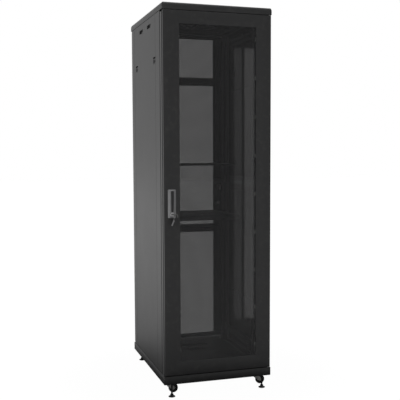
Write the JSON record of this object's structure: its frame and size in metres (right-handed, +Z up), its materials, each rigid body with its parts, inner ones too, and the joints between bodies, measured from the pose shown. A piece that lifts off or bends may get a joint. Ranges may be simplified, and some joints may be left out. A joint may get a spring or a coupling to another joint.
{
  "type": "network server rack cabinet",
  "caption": "Tall floor-standing 19-inch rack cabinet with a smoked glass front door, perforated rear door, lift-off side panels, shelves, roof fans, castors and levelling feet.",
  "frame": {"origin": "on the floor, under the middle of the cabinet's bounding box", "axes": "+Z up, the glass door faces -Y, +X to the right when facing the door"},
  "size_m": [0.6, 0.8634, 2.055],
  "materials": {
    "black_paint": "semi-gloss fine-textured black powder coat",
    "smoked_glass": "smoked toughened glass",
    "zinc": "bright zinc plate",
    "handle_grey": "satin grey die casting",
    "black_plastic": "satin moulded black plastic",
    "chrome": "polished",
    "rubber": "matt black wheel tread"
  },
  "bodies": {
    "cabinet": {"base_frame": "black_paint", "floor_plate": "black_paint", "top_frame": "black_paint", "top_cover": "black_paint", "corner_post_front_left": "black_paint", "corner_post_front_right": "black_paint", "corner_post_rear_left": "black_paint", "corner_post_rear_right": "black_paint", "rack_rail_front_left": "black_paint", "rack_rail_front_right": "black_paint", "rack_rail_rear_left": "black_paint", "rack_rail_rear_right": "black_paint", "depth_brace_left_lower": "black_paint", "depth_brace_left_middle": "black_paint", "depth_brace_left_upper": "black_paint", "depth_brace_right_lower": "black_paint", "depth_brace_right_middle": "black_paint", "depth_brace_right_upper": "black_paint", "shelf_upper": "black_paint", "shelf_lower": "black_paint", "fan_tray": "black_plastic", "front_hinge_pin_lower": "zinc", "front_hinge_pin_upper": "zinc", "rear_hinge_pin_lower": "zinc", "rear_hinge_pin_upper": "zinc"},
    "front_door": {"front_door_frame": "black_paint", "front_door_glass": "smoked_glass", "front_escutcheon": "handle_grey"},
    "front_spindle": {"front_cam": "zinc"},
    "front_lever": {"front_lever": "black_plastic"},
    "front_lock": {"front_lock_cylinder": "chrome", "front_key": "black_plastic"},
    "key_bunch": {"key_bunch": "black_plastic"},
    "rear_door": {"rear_door_frame": "black_paint", "rear_door_mesh": "black_paint", "rear_escutcheon": "handle_grey"},
    "rear_lever": {"rear_lever": "black_plastic"},
    "cable_entry": {"cable_entry_slide": "black_paint"},
    "fan_1": {"fan_rotor_1": "black_plastic"},
    "fan_2": {"fan_rotor_2": "black_plastic"},
    "fan_3": {"fan_rotor_3": "black_plastic"},
    "fan_4": {"fan_rotor_4": "black_plastic"},
    "left_side_panel": {"side_panel_left": "black_paint"},
    "left_latch_front": {"side_latch_left_front": "black_plastic"},
    "left_latch_rear": {"side_latch_left_rear": "black_plastic"},
    "right_side_panel": {"side_panel_right": "black_paint"},
    "right_latch_front": {"side_latch_right_front": "black_plastic"},
    "right_latch_rear": {"side_latch_right_rear": "black_plastic"},
    "castor_front_left": {"castor_fork_front_left": "zinc"},
    "castor_wheel_front_left": {"castor_wheel_front_left": "rubber"},
    "foot_front_left": {"levelling_foot_front_left": "zinc"},
    "castor_front_right": {"castor_fork_front_right": "zinc"},
    "castor_wheel_front_right": {"castor_wheel_front_right": "rubber"},
    "foot_front_right": {"levelling_foot_front_right": "zinc"},
    "castor_rear_left": {"castor_fork_rear_left": "zinc"},
    "castor_wheel_rear_left": {"castor_wheel_rear_left": "rubber"},
    "foot_rear_left": {"levelling_foot_rear_left": "zinc"},
    "castor_rear_right": {"castor_fork_rear_right": "zinc"},
    "castor_wheel_rear_right": {"castor_wheel_rear_right": "rubber"},
    "foot_rear_right": {"levelling_foot_rear_right": "zinc"}
  },
  "joints": [
    {"name": "front_door_hinge", "type": "hinge", "parent": "cabinet", "child": "front_door", "pos_m": [0.289, -0.37565, 1.0675], "axis": [0, 0, 1], "range_deg": [0, 120]},
    {"name": "front_handle_turn", "type": "hinge", "parent": "front_door", "child": "front_spindle", "pos_m": [-0.2535, -0.38665, 1.083], "axis": [0, 1, 0], "range_deg": [-90, 0]},
    {"name": "front_handle_lift", "type": "hinge", "parent": "front_spindle", "child": "front_lever", "pos_m": [-0.2535, -0.40465, 1.095], "axis": [1, 0, 0], "range_deg": [-40, 0]},
    {"name": "front_lock_turn", "type": "hinge", "parent": "front_door", "child": "front_lock", "pos_m": [-0.2535, -0.38665, 0.974], "axis": [0, 1, 0], "range_deg": [0, 90]},
    {"name": "key_bunch_swing", "type": "hinge", "parent": "front_lock", "child": "key_bunch", "pos_m": [-0.243, -0.42515, 0.977], "axis": [0, 1, 0], "range_deg": [-20, 20]},
    {"name": "rear_door_hinge", "type": "hinge", "parent": "cabinet", "child": "rear_door", "pos_m": [-0.289, 0.40235, 1.0675], "axis": [0, 0, 1], "range_deg": [0, 120]},
    {"name": "rear_handle_turn", "type": "hinge", "parent": "rear_door", "child": "rear_lever", "pos_m": [0.2535, 0.41335, 1.083], "axis": [0, 1, 0], "range_deg": [0, 90]},
    {"name": "cable_entry_slide", "type": "slide", "parent": "cabinet", "child": "cable_entry", "axis": [0, 1, 0], "range_m": [-0.06, 0.05]},
    {"name": "fan_1_spin", "type": "hinge", "parent": "cabinet", "child": "fan_1", "pos_m": [-0.07, -0.05, 2.035], "axis": [0, 0, 1], "continuous": true},
    {"name": "fan_2_spin", "type": "hinge", "parent": "cabinet", "child": "fan_2", "pos_m": [0.07, -0.05, 2.035], "axis": [0, 0, 1], "continuous": true},
    {"name": "fan_3_spin", "type": "hinge", "parent": "cabinet", "child": "fan_3", "pos_m": [-0.07, 0.09, 2.035], "axis": [0, 0, 1], "continuous": true},
    {"name": "fan_4_spin", "type": "hinge", "parent": "cabinet", "child": "fan_4", "pos_m": [0.07, 0.09, 2.035], "axis": [0, 0, 1], "continuous": true},
    {"name": "left_side_panel_lift_off", "type": "slide", "parent": "cabinet", "child": "left_side_panel", "axis": [-1, 0, 0], "range_m": [0, 0.15]},
    {"name": "left_latch_front_slide", "type": "slide", "parent": "left_side_panel", "child": "left_latch_front", "axis": [0, 0, 1], "range_m": [0, 0.008], "stiffness_N_per_m": 250, "springref_m": -0.004},
    {"name": "left_latch_rear_slide", "type": "slide", "parent": "left_side_panel", "child": "left_latch_rear", "axis": [0, 0, 1], "range_m": [0, 0.008], "stiffness_N_per_m": 250, "springref_m": -0.004},
    {"name": "right_side_panel_lift_off", "type": "slide", "parent": "cabinet", "child": "right_side_panel", "axis": [1, 0, 0], "range_m": [0, 0.15]},
    {"name": "right_latch_front_slide", "type": "slide", "parent": "right_side_panel", "child": "right_latch_front", "axis": [0, 0, 1], "range_m": [0, 0.008], "stiffness_N_per_m": 250, "springref_m": -0.004},
    {"name": "right_latch_rear_slide", "type": "slide", "parent": "right_side_panel", "child": "right_latch_rear", "axis": [0, 0, 1], "range_m": [0, 0.008], "stiffness_N_per_m": 250, "springref_m": -0.004},
    {"name": "castor_swivel_front_left", "type": "hinge", "parent": "cabinet", "child": "castor_front_left", "pos_m": [-0.25, -0.29465, 0.0669], "axis": [0, 0, 1], "continuous": true},
    {"name": "castor_roll_front_left", "type": "hinge", "parent": "castor_front_left", "child": "castor_wheel_front_left", "pos_m": [-0.23, -0.29465, 0.0265], "axis": [0, 1, 0], "continuous": true},
    {"name": "foot_screw_front_left", "type": "slide", "parent": "cabinet", "child": "foot_front_left", "axis": [0, 0, 1], "range_m": [-0.02, 0]},
    {"name": "castor_swivel_front_right", "type": "hinge", "parent": "cabinet", "child": "castor_front_right", "pos_m": [0.25, -0.29465, 0.0669], "axis": [0, 0, 1], "continuous": true},
    {"name": "castor_roll_front_right", "type": "hinge", "parent": "castor_front_right", "child": "castor_wheel_front_right", "pos_m": [0.27, -0.29465, 0.0265], "axis": [0, 1, 0], "continuous": true},
    {"name": "foot_screw_front_right", "type": "slide", "parent": "cabinet", "child": "foot_front_right", "axis": [0, 0, 1], "range_m": [-0.02, 0]},
    {"name": "castor_swivel_rear_left", "type": "hinge", "parent": "cabinet", "child": "castor_rear_left", "pos_m": [-0.25, 0.32135, 0.0669], "axis": [0, 0, 1], "continuous": true},
    {"name": "castor_roll_rear_left", "type": "hinge", "parent": "castor_rear_left", "child": "castor_wheel_rear_left", "pos_m": [-0.23, 0.32135, 0.0265], "axis": [0, 1, 0], "continuous": true},
    {"name": "foot_screw_rear_left", "type": "slide", "parent": "cabinet", "child": "foot_rear_left", "axis": [0, 0, 1], "range_m": [-0.02, 0]},
    {"name": "castor_swivel_rear_right", "type": "hinge", "parent": "cabinet", "child": "castor_rear_right", "pos_m": [0.25, 0.32135, 0.0669], "axis": [0, 0, 1], "continuous": true},
    {"name": "castor_roll_rear_right", "type": "hinge", "parent": "castor_rear_right", "child": "castor_wheel_rear_right", "pos_m": [0.27, 0.32135, 0.0265], "axis": [0, 1, 0], "continuous": true},
    {"name": "foot_screw_rear_right", "type": "slide", "parent": "cabinet", "child": "foot_rear_right", "axis": [0, 0, 1], "range_m": [-0.02, 0]}
  ]
}
